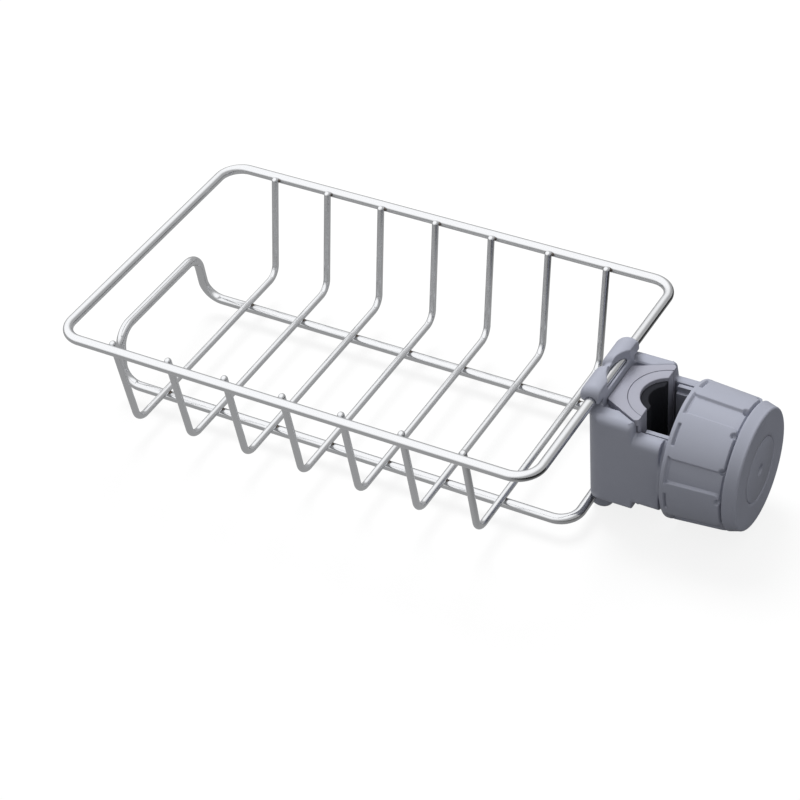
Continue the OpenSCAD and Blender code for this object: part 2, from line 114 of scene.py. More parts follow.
# Nearly all of a noise texture lies between these two values
noiseSpan = (0.3, 0.7)

# Moulded ABS: a dull, even grey with the fine grain of a spark-eroded mould, which
# spreads every highlight into a soft sheen
absFinish = {
    "bodyColour": "#9699A6",
    "padColour": "#9495A1",
    "cloud": 0.05,  # how far the tint drifts either way
    "roughness": (0.34, 0.45),
    "ior": 1.54,
    "grain": 0.35 * mm,  # the real grain is about a tenth of this, too fine to show
    "grainDepth": 0.012 * mm,
    "flow": 14 * mm,  # size of the faint cloudy patches that the melt leaves
}


def mouldedAbs(name, colour, size):
    material, tree = newMaterial(name)
    place = addNode(tree, "ShaderNodeTexCoord").outputs["Object"]
    grain = addNode(tree, "ShaderNodeTexNoise", None,
                    {"Vector": place, "Scale": 1 / size["grain"], "Detail": 2})
    flow = addNode(tree, "ShaderNodeTexNoise", None,
                   {"Vector": place, "Scale": 1 / size["flow"], "Detail": 3, "Roughness": 0.6})
    darker, paler = ([value * share for value in toLinear(colour)[:3]] + [1]
                     for share in (1 - size["cloud"], 1 + size["cloud"]))
    tint = addNode(tree, "ShaderNodeMix", {"data_type": "RGBA"},
                   {"Factor": flow.outputs["Fac"], 6: darker, 7: paler})
    rough = addNode(tree, "ShaderNodeMapRange", None,
                    {"Value": flow.outputs["Fac"], "From Min": noiseSpan[0],
                     "From Max": noiseSpan[1], "To Min": size["roughness"][0],
                     "To Max": size["roughness"][1]})
    bump = addNode(tree, "ShaderNodeBump", None,
                   {"Height": grain.outputs["Fac"], "Strength": 1, "Distance": size["grainDepth"]})
    shader = addNode(tree, "ShaderNodeBsdfPrincipled", None,
                     {"Base Color": tint.outputs[2], "Roughness": rough.outputs["Result"],
                      "IOR": size["ior"], "Normal": bump.outputs["Normal"]})
    addNode(tree, "ShaderNodeOutputMaterial", None, {"Surface": shader.outputs[0]})
    return material


# Black EPDM rubber: takes nearly all light, with a dry, slightly dusty face
rubberFinish = {
    "colour": "#202125",
    "dust": "#2C2D32",
    "roughness": 0.8,
    "ior": 1.4,
    "specular": 0.12,
    "grain": 0.5 * mm,  # the real grain is finer, this is as coarse as shows
    "grainDepth": 0.03 * mm,
}


def mouldedRubber(name, size):
    material, tree = newMaterial(name)
    place = addNode(tree, "ShaderNodeTexCoord").outputs["Object"]
    grain = addNode(tree, "ShaderNodeTexNoise", None,
                    {"Vector": place, "Scale": 1 / size["grain"], "Detail": 3})
    tint = addNode(tree, "ShaderNodeMix", {"data_type": "RGBA"},
                   {"Factor": grain.outputs["Fac"], 6: toLinear(size["colour"]),
                    7: toLinear(size["dust"])})
    bump = addNode(tree, "ShaderNodeBump", None,
                   {"Height": grain.outputs["Fac"], "Strength": 1, "Distance": size["grainDepth"]})
    shader = addNode(tree, "ShaderNodeBsdfPrincipled", None,
                     {"Base Color": tint.outputs[2], "Roughness": size["roughness"],
                      "IOR": size["ior"], "Specular IOR Level": size["specular"],
                      "Normal": bump.outputs["Normal"]})
    addNode(tree, "ShaderNodeOutputMaterial", None, {"Surface": shader.outputs[0]})
    return material


# Stainless wire, drawn through dies and electropolished: mirror bright, with faint
# lines along the wire that stretch each highlight across it
wireFinish = {
    "colour": "#D3D4D6",
    "roughness": (0.15, 0.19),
    "lineWidth": 0.3 * mm,  # real drawing lines are finer, these are as coarse as shows
    "lineStretch": 60,  # how many times longer than wide a line is
    "lineDepth": 0.0004 * mm,
}


def drawnWire(name, size):
    material, tree = newMaterial(name)
    across = addNode(tree, "ShaderNodeAttribute", {"attribute_name": "acrossWire"})
    along = addNode(tree, "ShaderNodeAttribute", {"attribute_name": "alongWire"})
    shrunk = addNode(tree, "ShaderNodeMath", {"operation": "DIVIDE"},
                     {0: along.outputs["Fac"], 1: size["lineStretch"]})
    offset = addNode(tree, "ShaderNodeCombineXYZ", None, {"Z": shrunk.outputs[0]})
    place = addNode(tree, "ShaderNodeVectorMath", {"operation": "ADD"},
                    {0: across.outputs["Vector"], 1: offset.outputs[0]})
    lines = addNode(tree, "ShaderNodeTexNoise", None,
                    {"Vector": place.outputs[0], "Scale": 1 / size["lineWidth"], "Detail": 3})
    rough = addNode(tree, "ShaderNodeMapRange", None,
                    {"Value": lines.outputs["Fac"], "From Min": noiseSpan[0],
                     "From Max": noiseSpan[1], "To Min": size["roughness"][0],
                     "To Max": size["roughness"][1]})
    bump = addNode(tree, "ShaderNodeBump", None,
                   {"Height": lines.outputs["Fac"], "Strength": 1, "Distance": size["lineDepth"]})
    shader = addNode(tree, "ShaderNodeBsdfPrincipled", None,
                     {"Base Color": toLinear(size["colour"]), "Metallic": 1,
                      "Roughness": rough.outputs["Result"], "Normal": bump.outputs["Normal"]})
    addNode(tree, "ShaderNodeOutputMaterial", None, {"Surface": shader.outputs[0]})
    return material


# Spot weld on stainless: the heat leaves a dull straw to grey skin
weldFinish = {"straw": "#75695C", "grey": "#46474B", "roughness": 0.42, "patch": 0.8 * mm}


def heatTint(name, size):
    material, tree = newMaterial(name)
    place = addNode(tree, "ShaderNodeTexCoord").outputs["Object"]
    patches = addNode(tree, "ShaderNodeTexNoise", None,
                      {"Vector": place, "Scale": 1 / size["patch"], "Detail": 2})
    tint = addNode(tree, "ShaderNodeMix", {"data_type": "RGBA"},
                   {"Factor": patches.outputs["Fac"], 6: toLinear(size["straw"]),
                    7: toLinear(size["grey"])})
    shader = addNode(tree, "ShaderNodeBsdfPrincipled", None,
                     {"Base Color": tint.outputs[2], "Metallic": 1,
                      "Roughness": size["roughness"]})
    addNode(tree, "ShaderNodeOutputMaterial", None, {"Surface": shader.outputs[0]})
    return material


# Zinc-plated steel: a cool bright grey with a faint spangle and softened highlights
zincFinish = {"colour": "#B9BEC4", "spangle": 1.5 * mm, "roughness": (0.25, 0.4)}


def zincPlated(name, size):
    material, tree = newMaterial(name)
    place = addNode(tree, "ShaderNodeTexCoord").outputs["Object"]
    spangle = addNode(tree, "ShaderNodeTexVoronoi", None,
                      {"Vector": place, "Scale": 1 / size["spangle"]})
    rough = addNode(tree, "ShaderNodeMapRange", None,
                    {"Value": spangle.outputs["Distance"], "To Min": size["roughness"][0],
                     "To Max": size["roughness"][1]})
    shader = addNode(tree, "ShaderNodeBsdfPrincipled", None,
                     {"Base Color": toLinear(size["colour"]), "Metallic": 1,
                      "Roughness": rough.outputs["Result"]})
    addNode(tree, "ShaderNodeOutputMaterial", None, {"Surface": shader.outputs[0]})
    return material


bodyPlastic = mouldedAbs("mouldedBodyAbs", absFinish["bodyColour"], absFinish)
padPlastic = mouldedAbs("mouldedPadAbs", absFinish["padColour"], absFinish)
rubber = mouldedRubber("mouldedEpdmRubber", rubberFinish)
steel = drawnWire("electropolishedWire", wireFinish)
weldSkin = heatTint("heatTintedWeld", weldFinish)
zinc = zincPlated("zincPlatedSteel", zincFinish)
print("materials made")


# A Geometry Nodes tree with named inputs, and the sockets that give them
def newShapeTree(name, sizes):
    tree = bpy.data.node_groups.new(name, "GeometryNodeTree")
    tree.interface.new_socket("Geometry", in_out="INPUT", socket_type="NodeSocketGeometry")
    for label, kind in sizes.items():
        tree.interface.new_socket(label, in_out="INPUT", socket_type="NodeSocket" + kind)
    tree.interface.new_socket("Material", in_out="INPUT", socket_type="NodeSocketMaterial")
    tree.interface.new_socket("Geometry", in_out="OUTPUT", socket_type="NodeSocketGeometry")
    return tree, addNode(tree, "NodeGroupInput").outputs


mergeWithin = 0.002 * mm  # points closer than this are one point


# The end of every tree: real geometry, merged and smooth, with its material
def closeTree(tree, given, shape):
    real = addNode(tree, "GeometryNodeRealizeInstances", None, {"Geometry": shape})
    welded = addNode(tree, "GeometryNodeMergeByDistance", None,
                     {"Geometry": real.outputs[0], "Distance": mergeWithin})
    smooth = addNode(tree, "GeometryNodeSetShadeSmooth", None, {"Geometry": welded.outputs[0]})
    painted = addNode(tree, "GeometryNodeSetMaterial", None,
                      {"Geometry": smooth.outputs[0], "Material": given["Material"]})
    addNode(tree, "NodeGroupOutput", None, {0: painted.outputs[0]})


def linkObject(name, mesh):
    piece = bpy.data.objects.new(name, mesh)
    scene.collection.objects.link(piece)
    return piece


# Runs a tree on a start mesh and keeps the result as a plain mesh
def growPiece(name, tree, start, values):
    piece = linkObject(name, start)
    modifier = piece.modifiers.new("shape", "NODES")
    modifier.node_group = tree
    for item in tree.interface.items_tree:
        if item.in_out == "INPUT" and item.name in values:
            modifier[item.identifier] = values[item.name]
    return bakePiece(piece)


# Turns a piece's modifiers into its own plain mesh
def bakePiece(piece):
    graph = bpy.context.evaluated_depsgraph_get()
    mesh = bpy.data.meshes.new_from_object(piece.evaluated_get(graph), depsgraph=graph)
    piece.modifiers.clear()
    piece.data = mesh
    mesh.name = piece.name
    return piece


# Places a finished piece on the body it rides on, and hides what it stands for
def seatPiece(piece, body, slotName, *standsFor):
    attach(piece, body)
    if standsFor:
        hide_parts(*standsFor)


# Basket wires: a path of corners, rounded and swept with the wire's section
wire = {
    "frameBend": 8 * mm,
    "baseBend": 7 * mm,
    "crossBend": 5 * mm,
    "baseTaper": 2.7 * mm,  # width that the turned-up end loses on each side
    "tipShort": 0.6 * mm,  # how far each tip stays inside its CAD wire's reach
    "crossLean": 6.4 * mm,  # how far each leg leans in from its tip to the floor
    "crossWires": 7,
    "sides": 28,
    "bendSteps": 14,
    "tipSteps": 7,
}


def makeWireTree(size):
    tree, given = newShapeTree("bentWire", {"Wire radius": "Float", "Bend radius": "Float"})
    path = addNode(tree, "GeometryNodeMeshToCurve", None, {"Mesh": given["Geometry"]})
    corner = addNode(tree, "GeometryNodeInputNamedAttribute", {"data_type": "FLOAT"},
                     {"Name": "corner"})
    bend = addNode(tree, "ShaderNodeMath", {"operation": "MULTIPLY"},
                   {0: given["Bend radius"], 1: corner.outputs[0]})
    rounded = addNode(tree, "GeometryNodeFilletCurve", {"mode": "POLY"},
                      {"Curve": path.outputs[0], "Count": size["bendSteps"],
                       "Radius": bend.outputs[0]})
    spot = addNode(tree, "GeometryNodeSplineParameter")
    whole = addNode(tree, "GeometryNodeSplineLength")
    marked = addNode(tree, "GeometryNodeStoreNamedAttribute",
                     {"data_type": "FLOAT", "domain": "POINT"},
                     {"Geometry": rounded.outputs[0], "Name": "alongWire",
                      "Value": spot.outputs["Length"]})
    # An open wire ends in a half ball
    left = addNode(tree, "ShaderNodeMath", {"operation": "SUBTRACT"},
                   {0: whole.outputs["Length"], 1: spot.outputs["Length"]})
    toEnd = addNode(tree, "ShaderNodeMath", {"operation": "MINIMUM"},
                    {0: spot.outputs["Length"], 1: left.outputs[0]})
    share = addNode(tree, "ShaderNodeMath", {"operation": "DIVIDE", "use_clamp": True},
                    {0: toEnd.outputs[0], 1: given["Wire radius"]})
    rest = addNode(tree, "ShaderNodeMath", {"operation": "SUBTRACT"}, {0: 1, 1: share.outputs[0]})
    squared = addNode(tree, "ShaderNodeMath", {"operation": "MULTIPLY_ADD"},
                      {0: rest.outputs[0], 1: rest.outputs[0], 2: -1})
    height = addNode(tree, "ShaderNodeMath", {"operation": "ABSOLUTE"}, {0: squared.outputs[0]})
    ball = addNode(tree, "ShaderNodeMath", {"operation": "POWER"}, {0: height.outputs[0], 1: 0.5})
    closed = addNode(tree, "GeometryNodeInputSplineCyclic")
    scale = addNode(tree, "ShaderNodeMath", {"operation": "MAXIMUM"},
                    {0: ball.outputs[0], 1: closed.outputs[0]})
    ring = addNode(tree, "GeometryNodeCurvePrimitiveCircle", None,
                   {"Resolution": size["sides"], "Radius": given["Wire radius"]})
    place = addNode(tree, "GeometryNodeInputPosition")
    section = addNode(tree, "GeometryNodeStoreNamedAttribute",
                      {"data_type": "FLOAT_VECTOR", "domain": "POINT"},
                      {"Geometry": ring.outputs[0], "Name": "acrossWire",
                       "Value": place.outputs[0]})
    swept = addNode(tree, "GeometryNodeCurveToMesh", None,
                    {"Curve": marked.outputs[0], "Profile Curve": section.outputs[0],
                     "Scale": scale.outputs[0]})
    closeTree(tree, given, swept.outputs[0])
    return tree


# Mesh of edges through a list of points; the flag says which points are bends
def pathMesh(name, points, bends, loop):
    mesh = bpy.data.meshes.new(name)
    last = len(points) if loop else len(points) - 1
    mesh.from_pydata(points, [(i, (i + 1) % len(points)) for i in range(last)], [])
    mesh.attributes.new("corner", "FLOAT", "POINT").data.foreach_set("value", bends)
    return mesh


wireTree = makeWireTree(wire)
rimLow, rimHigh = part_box("rim_wire")
baseLow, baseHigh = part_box("base_wire")
frameR = (rimHigh.z - rimLow.z) / 2
middleY = (rimLow.y + rimHigh.y) / 2


def makeRim():
    z = rimLow.z + frameR
    x0, x1 = rimLow.x + frameR, rimHigh.x - frameR
    y0, y1 = rimLow.y + frameR, rimHigh.y - frameR
    # It starts in the middle of a side, away from the bends
    points = [((x0 + x1) / 2, y0, z), (x1, y0, z), (x1, y1, z), (x0, y1, z), (x0, y0, z)]
    piece = growPiece("rimWire", wireTree, pathMesh("rimPath", points, [0, 1, 1, 1, 1], True),
                      {"Wire radius": frameR, "Bend radius": wire["frameBend"], "Material": steel})
    seatPiece(piece, "basket", "steel_wire", "rim_wire")


def makeBase():
    low, high = baseLow.z + frameR, baseHigh.z - frameR
    far, near = baseLow.x + frameR, baseHigh.x - frameR
    half = baseHigh.y - frameR - middleY
    endHalf = half - wire["baseTaper"]
    left, right = middleY - half, middleY + half
    points = [((far + near) / 2, left, low), (near, left, low), (near, right, low),
              (far, right, low), (far, middleY + endHalf, high), (far, middleY - endHalf, high),
              (far, left, low)]
    piece = growPiece("baseWire", wireTree, pathMesh("basePath", points, [0] + [1] * 6, True),
                      {"Wire radius": frameR, "Bend radius": wire["baseBend"], "Material": steel})
    seatPiece(piece, "basket", "steel_wire", "base_wire")


def makeCrossWire(number):
    low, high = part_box(f"cross_wire_{number}")
    radius = (high.x - low.x) / 2
    x, floorZ, tipZ = low.x + radius, low.z + radius, high.z - radius
    tipHalf = high.y - radius - middleY
    footHalf = tipHalf - wire["crossLean"]
    side = []  # from the tip's end down to the bend
    leg = Vector((0, tipHalf - footHalf, tipZ - floorZ)).normalized()
    tip = Vector((x, tipHalf, tipZ)) - leg * wire["tipShort"]
    for step in range(wire["tipSteps"] + 1):
        back = radius * math.cos(math.pi / 2 * step / wire["tipSteps"])
        side.append(tip + leg * back)
    side.append(Vector((x, footHalf, floorZ)))
    points = [(x, middleY - spot.y, spot.z) for spot in side]
    points += [(x, middleY + spot.y, spot.z) for spot in reversed(side)]
    bends = [0] * (len(side) - 1) + [1, 1] + [0] * (len(side) - 1)
    piece = growPiece(f"crossWire{number}", wireTree, pathMesh("crossPath", points, bends, False),
                      {"Wire radius": radius, "Bend radius": wire["crossBend"], "Material": steel})
    seatPiece(piece, "basket", "steel_wire", f"cross_wire_{number}")
    return x, radius


makeRim()
makeBase()
crossPlaces = [makeCrossWire(number) for number in range(1, wire["crossWires"] + 1)]
print("basket wires swept")

# Resistance welds: a small flattened bead shows on both sides of each crossing
weld = {
    "ball": 1.0 * mm,
    "reach": (1.75, 0.85, 0.85),  # along the frame wire, then across it
    "spread": 0.12,  # how much one bead differs from the next
    "fineness": 3,
    "seed": 11,
}


def makeWeldTree(size):
    tree, given = newShapeTree("weldBead", {"Ball radius": "Float", "Seed": "Int"})
    ball = addNode(tree, "GeometryNodeMeshIcoSphere", None,
                   {"Radius": given["Ball radius"], "Subdivisions": size["fineness"]})
    low = [value * (1 - size["spread"]) for value in size["reach"]]
    high = [value * (1 + size["spread"]) for value in size["reach"]]
    reach = addNode(tree, "FunctionNodeRandomValue", {"data_type": "FLOAT_VECTOR"},
                    {0: low, 1: high, "Seed": given["Seed"]})
    beads = addNode(tree, "GeometryNodeInstanceOnPoints", None,
                    {"Points": given["Geometry"], "Instance": ball.outputs["Mesh"],
                     "Scale": reach.outputs[0]})
    closeTree(tree, given, beads.outputs[0])
    return tree


def makeWelds(size):
    spots = []
    low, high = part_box("cross_wire_4")  # all cross wires have the same U
    for x, radius in crossPlaces:
        floorZ = low.z + radius
        lean = wire["crossLean"] / (high.z - radius - floorZ)
        rimY = high.y - radius - middleY - lean * (high.z - radius - rimLow.z - frameR)
        for side in (-1, 1):
            spots.append((x, middleY + side * (rimY + radius), rimLow.z + frameR))
            spots.append((x, middleY + side * (baseHigh.y - frameR - middleY), floorZ - radius))
    mesh = bpy.data.meshes.new("weldSpots")
    mesh.from_pydata(spots, [], [])
    piece = growPiece("weldBeads", makeWeldTree(size), mesh,
                      {"Ball radius": size["ball"], "Seed": size["seed"], "Material": weldSkin})
    seatPiece(piece, "basket", "steel_wire")


makeWelds(weld)
print("weld beads set")

# Knob shell: a turned profile with channels, a wavy groove and slots pressed into it.
# Sizes along the axis and across it, in millimetres, and angles in degrees
knob = {
    "rear": 6.6, "front": 30.8, "boreR": 19.5,
    "lipR": 22.6, "lipW": 1.6, "lipEdge": 0.45, "lipTaper": 0.05,
    "gripRearR": 22.5, "gripFrontR": 21.3, "frontTaper": 0.1,
    "ringR": 21.0, "faceR": 19.8, "faceLip": 0.35, "faceEdge": 0.9,
    "webFront": 27.1, "webBack": 25.1, "capX": 29.3,
    "capBoreR": 10.88, "capSeam": 0.35, "washerBoreR": 5.75, "spigotBoreR": 4.08,
    "plates": 6, "turn": -9, "channelW": 7.4, "channelDepth": 1.0,
    "plateCorner": 2.1, "plateEdge": 0.6, "plateGap": 0.1, "plateStart": 1.4,
    "grooveX": 26.1, "grooveHalf": 0.52, "grooveDepth": 0.7, "grooveEdge": 0.75,
    "channelEnd": (0.2, 0.4),  # how far past the groove's middle it fades, and how wide
    "notchR": 1.15, "notchDepth": 1.15, "notchAngle": 14, "notchShift": 1.3, "notchBack": 0.7,
    "notchEdge": (0.8, 0.9),  # its limit and its fade, as shares of its radius
    "slotX": 8.55, "slotHalf": 0.42, "slotDepth": 1.1, "slotSpan": 18,
    "slotFade": (1.2, 0.25),  # at its ends and along its sides
    "skinAbove": 0.6,  # only what lies this far outside the face is pressed in
    "slack": 0.01,  # so that the grip's own back edge counts as grip
    "slotBand": (1.2, 0.06),  # length and taper of the finely divided band with the slots
    "grooveBand": (24.0, 27.0),  # and the band with the groove and the notches
    "fine": 0.12, "coarse": 0.8, "lipStep": 0.3, "ringStep": 0.4, "faceStep": 1.2,
    "lipEdgeSteps": 5, "faceEdgeSteps": 8, "aroundSteps": 640,
    "sweepR": 1 * mm,
    "shrink": 1e-6,  # the section is swept tiny, so that the sweep keeps each angle
}


# Points of the knob's section, close together where something is pressed in
def knobSection(size):
    def stretch(start, end, step):
        count = max(1, round(math.dist(start, end) / step))
        return [tuple(a + (b - a) * i / count for a, b in zip(start, end)) for i in range(count)]

    def corner(centre, radius, fromAngle, toAngle, steps):
        angles = [math.radians(fromAngle + (toAngle - fromAngle) * i / steps) for i in range(steps)]
        return [(centre[0] + radius * math.cos(a), centre[1] + radius * math.sin(a))
                for a in angles]

    rear, front, seam = size["rear"], size["front"], size["capSeam"]
    edge, face = size["lipEdge"], size["faceEdge"]
    gripBack = rear + size["lipW"]
    bandEnd = (gripBack + size["slotBand"][0], size["gripRearR"] - size["slotBand"][1])
    gripEnd = (size["grooveBand"][0], size["gripFrontR"] + size["frontTaper"])
    ringStart = (size["grooveBand"][1], size["ringR"])
    ringFrontR = size["faceR"] + size["faceLip"]
    points = stretch((rear, size["boreR"]), (rear, size["lipR"] - edge), size["coarse"])
    points += corner((rear + edge, size["lipR"] - edge), edge, 180, 90, size["lipEdgeSteps"])
    points += stretch((rear + edge, size["lipR"]), (gripBack, size["lipR"] - size["lipTaper"]),
                      size["lipStep"])
    points += stretch((gripBack, size["gripRearR"]), bandEnd, size["fine"])
    points += stretch(bandEnd, gripEnd, size["coarse"])
    points += stretch(gripEnd, ringStart, size["fine"])
    points += stretch(ringStart, (front - face, ringFrontR), size["ringStep"])
    points += corner((front - face, ringFrontR - face), face, 90, 0, size["faceEdgeSteps"])
    points += stretch((front, ringFrontR - face), (front, size["capBoreR"] + seam),
                      size["faceStep"])
    points += [(front, size["capBoreR"] + seam), (front - seam, size["capBoreR"]),
               (size["capX"], size["capBoreR"]), (size["capX"], size["washerBoreR"]),
               (size["webFront"], size["washerBoreR"]), (size["webFront"], size["spigotBoreR"]),
               (size["webBack"], size["spigotBoreR"]), (size["webBack"], size["boreR"])]
    return points


def makeKnobTree(size):
    tree, given = newShapeTree("knobShell", {
        "Channel depth": "Float", "Channel width": "Float", "Groove depth": "Float",
        "Notch depth": "Float", "Slot depth": "Float", "Plates": "Float", "Turn": "Float"})
    # The start mesh is the section, in its plane; it is turned into a curve and swept round
    section = addNode(tree, "GeometryNodeMeshToCurve", None, {"Mesh": given["Geometry"]})
    path = addNode(tree, "GeometryNodeCurvePrimitiveCircle", None,
                   {"Resolution": size["aroundSteps"], "Radius": size["sweepR"]})
    lathe = addNode(tree, "GeometryNodeCurveToMesh", None,
                    {"Curve": path.outputs[0], "Profile Curve": section.outputs[0]})
    around = addNode(tree, "GeometryNodeInputPosition")
    swept = addNode(tree, "ShaderNodeSeparateXYZ", None, {"Vector": around.outputs[0]})
    # The section's own place comes along as an attribute, in millimetres
    spot = addNode(tree, "GeometryNodeInputNamedAttribute", {"data_type": "FLOAT_VECTOR"},
                   {"Name": "section"})
    drawn = addNode(tree, "ShaderNodeSeparateXYZ", None, {"Vector": spot.outputs[0]})
    worked = {"sweptX": swept.outputs["X"], "sweptY": swept.outputs["Y"],
              "x": drawn.outputs["X"], "radius": drawn.outputs["Y"]}
    worked.update(given.items())
    gripBack, corner = size["rear"] + size["lipW"], size["plateCorner"]
    # Each row is one node: the name of its result, its operation, and what it works on
    rows = (
        ("angle", "ARCTAN2", "sweptY", "sweptX"),
        # Arc from the middle of the nearest channel
        ("degrees", "DEGREES", "angle"),
        ("turned", "SUBTRACT", "degrees", "Turn"),
        ("step", "DIVIDE", 360, "Plates"),
        ("share", "DIVIDE", "turned", "step"),
        ("nearest", "ROUND", "share"),
        ("shareOff", "SUBTRACT", "share", "nearest"),
        ("degreesOff", "MULTIPLY", "shareOff", "step"),
        ("radiansOff", "RADIANS", "degreesOff"),
        ("arc", "MULTIPLY", "radiansOff", size["gripFrontR"]),
        ("across", "ABSOLUTE", "arc"),
        ("half", "MULTIPLY", "Channel width", 0.5),
        # How far a point is outside the plate: past its long edge, its front and its back
        ("overSide", "SUBTRACT", "half", "across"),
        ("nearSide", "ADD", "overSide", corner),
        ("pastSide", "MAXIMUM", 0, "nearSide"),
        ("nearFront", "SUBTRACT", "x", size["grooveX"] - size["plateGap"] - corner),
        ("pastFront", "MAXIMUM", 0, "nearFront"),
        ("nearBack", "SUBTRACT", gripBack + size["plateStart"], "x"),
        ("pastBack", "MAXIMUM", 0, "nearBack"),
        ("pastEnd", "MAXIMUM", "pastFront", "pastBack"),
        ("sideSquare", "MULTIPLY", "pastSide", "pastSide"),
        ("endSquare", "MULTIPLY", "pastEnd", "pastEnd"),
        ("plateSquare", "ADD", "sideSquare", "endSquare"),
        ("fromPlate", "SQRT", "plateSquare"),
        ("plate", "SMOOTHERSTEP", "fromPlate", corner, size["plateEdge"]),
        ("noPlate", "SUBTRACT", 1, "plate"),
        ("beforeGroove", "SMOOTHERSTEP", "x", size["grooveX"] + size["channelEnd"][0],
         size["channelEnd"][1]),
        ("pastLip", "GREATER_THAN", "x", gripBack - size["slack"]),
        ("onGrip", "MULTIPLY", "beforeGroove", "pastLip"),
        ("inChannel", "MULTIPLY", "noPlate", "onGrip"),
        ("channel", "MULTIPLY", "inChannel", "Channel depth"),
        # The groove before the front ring
        ("grooveOff", "SUBTRACT", "x", size["grooveX"]),
        ("fromGroove", "ABSOLUTE", "grooveOff"),
        ("inGroove", "SMOOTHERSTEP", "fromGroove", size["grooveHalf"] * size["grooveEdge"],
         size["grooveHalf"]),
        ("groove", "MULTIPLY", "inGroove", "Groove depth"),
        # Round notches where the groove meets a plate's corners
        ("notchX", "SUBTRACT", "x", size["grooveX"] - size["notchBack"]),
        ("notchTurn", "ADD", "arc", size["notchShift"]),
        ("notchSide", "ABSOLUTE", "notchTurn"),
        ("notchY", "SUBTRACT", "notchSide", math.radians(size["notchAngle"]) * size["gripFrontR"]),
        ("notchSquareX", "MULTIPLY", "notchX", "notchX"),
        ("notchSquareY", "MULTIPLY", "notchY", "notchY"),
        ("notchSquare", "ADD", "notchSquareX", "notchSquareY"),
        ("fromNotch", "SQRT", "notchSquare"),
        ("inNotch", "SMOOTHERSTEP", "fromNotch", size["notchR"] * size["notchEdge"][0],
         size["notchR"] * size["notchEdge"][1]),
        ("notch", "MULTIPLY", "inNotch", "Notch depth"),
        # Short slots just in front of the rear lip, two to each plate
        ("halfStep", "DIVIDE", "step", 2),
        ("halfShare", "DIVIDE", "turned", "halfStep"),
        ("nearestHalf", "ROUND", "halfShare"),
        ("halfShareOff", "SUBTRACT", "halfShare", "nearestHalf"),
        ("slotShare", "ABSOLUTE", "halfShareOff"),
        ("slotDegrees", "MULTIPLY", "slotShare", "halfStep"),
        ("slotEnds", "SMOOTHERSTEP", "slotDegrees", size["slotSpan"] / 2, size["slotFade"][0]),
        ("slotOff", "SUBTRACT", "x", size["slotX"]),
        ("fromSlot", "ABSOLUTE", "slotOff"),
        ("slotSides", "SMOOTHERSTEP", "fromSlot", size["slotHalf"], size["slotFade"][1]),
        ("inSlot", "MULTIPLY", "slotEnds", "slotSides"),
        ("slot", "MULTIPLY", "inSlot", "Slot depth"),
        # The deepest of them, on the outer skin alone
        ("grooveCut", "ADD", "groove", "channel"),
        ("grooveOrSlot", "MAXIMUM", "grooveCut", "slot"),
        ("notchCut", "ADD", "notch", "channel"),
        ("deepest", "MAXIMUM", "grooveOrSlot", "notchCut"),
        ("overFace", "GREATER_THAN", "radius", size["faceR"] + size["skinAbove"]),
        ("onSkin", "MULTIPLY", "overFace", "pastLip"),
        ("cut", "MULTIPLY", "deepest", "onSkin"),
        ("finalR", "SUBTRACT", "radius", "cut"),
        # Laid round the X axis, where millimetres become metres
        ("wide", "MULTIPLY", "finalR", mm),
        ("sine", "SINE", "angle"),
        ("cosine", "COSINE", "angle"),
        ("X", "MULTIPLY", "x", mm),
        ("Y", "MULTIPLY", "wide", "sine"),
        ("Z", "MULTIPLY", "wide", "cosine"),
    )
    for result, operation, *parts in rows:
        parts = [worked[part] if isinstance(part, str) else part for part in parts]
        if operation == "SMOOTHERSTEP":
            # 1 well below the limit, 0 well above it, and smooth over the width between
            value, limit, width = parts
            node = addNode(tree, "ShaderNodeMapRange", {"interpolation_type": operation},
                           {"Value": value, "From Min": limit - width / 2,
                            "From Max": limit + width / 2, "To Min": 1, "To Max": 0})
        else:
            node = addNode(tree, "ShaderNodeMath", {"operation": operation},
                           dict(enumerate(parts)))
        worked[result] = node.outputs[0]
    place = addNode(tree, "ShaderNodeCombineXYZ", None, {axis: worked[axis] for axis in "XYZ"})
    shaped = addNode(tree, "GeometryNodeSetPosition", None,
                     {"Geometry": lathe.outputs[0], "Position": place.outputs[0]})
    closeTree(tree, given, shaped.outputs[0])
    return tree


# Makes every face of a closed mesh point outwards
def turnOutwards(mesh):
    shape = bmesh.new()
    shape.from_mesh(mesh)
    bmesh.ops.recalc_face_normals(shape, faces=shape.faces)
    shape.to_mesh(mesh)
    shape.free()


def makeKnobShell(size):
    points = knobSection(size)
    mesh = bpy.data.meshes.new("knobSection")
    mesh.from_pydata([(x * size["shrink"], r * size["shrink"], 0) for x, r in points],
                     [(i, (i + 1) % len(points)) for i in range(len(points))], [])
    mesh.attributes.new("section", "FLOAT_VECTOR", "POINT").data.foreach_set(
        "vector", [value for x, r in points for value in (x, r, 0)])
    piece = growPiece("knobShell", makeKnobTree(size), mesh, {
        "Channel depth": size["channelDepth"], "Channel width": size["channelW"],
        "Groove depth": size["grooveDepth"], "Notch depth": size["notchDepth"],
        "Slot depth": size["slotDepth"], "Plates": size["plates"], "Turn": size["turn"],
        "Material": bodyPlastic})
    turnOutwards(piece.data)
    seatPiece(piece, "knob", "body_plastic", "knob_shell")


makeKnobShell(knob)
print("knob shell turned")

# Knob cap: a pressed-in plug with the gate's ring-shaped mark in its middle
cap = {
    "backX": 29.3, "frontX": 30.8, "r": 10.8,
    "backEdge": 0.2, "frontEdge": 0.35,
    "bulge": 0.3,  # how full the front edge's round is
    "markR": 1.9, "markDepth": 1.2, "markEdge": 0.2, "markRound": (0.15, 0.05),
    "draft": 0.1, "pipR": 0.5, "pipDrop": 0.7,
    "aroundSteps": 96,
    "sharpOver": 40,  # edges that bend more than this many degrees stay sharp
}


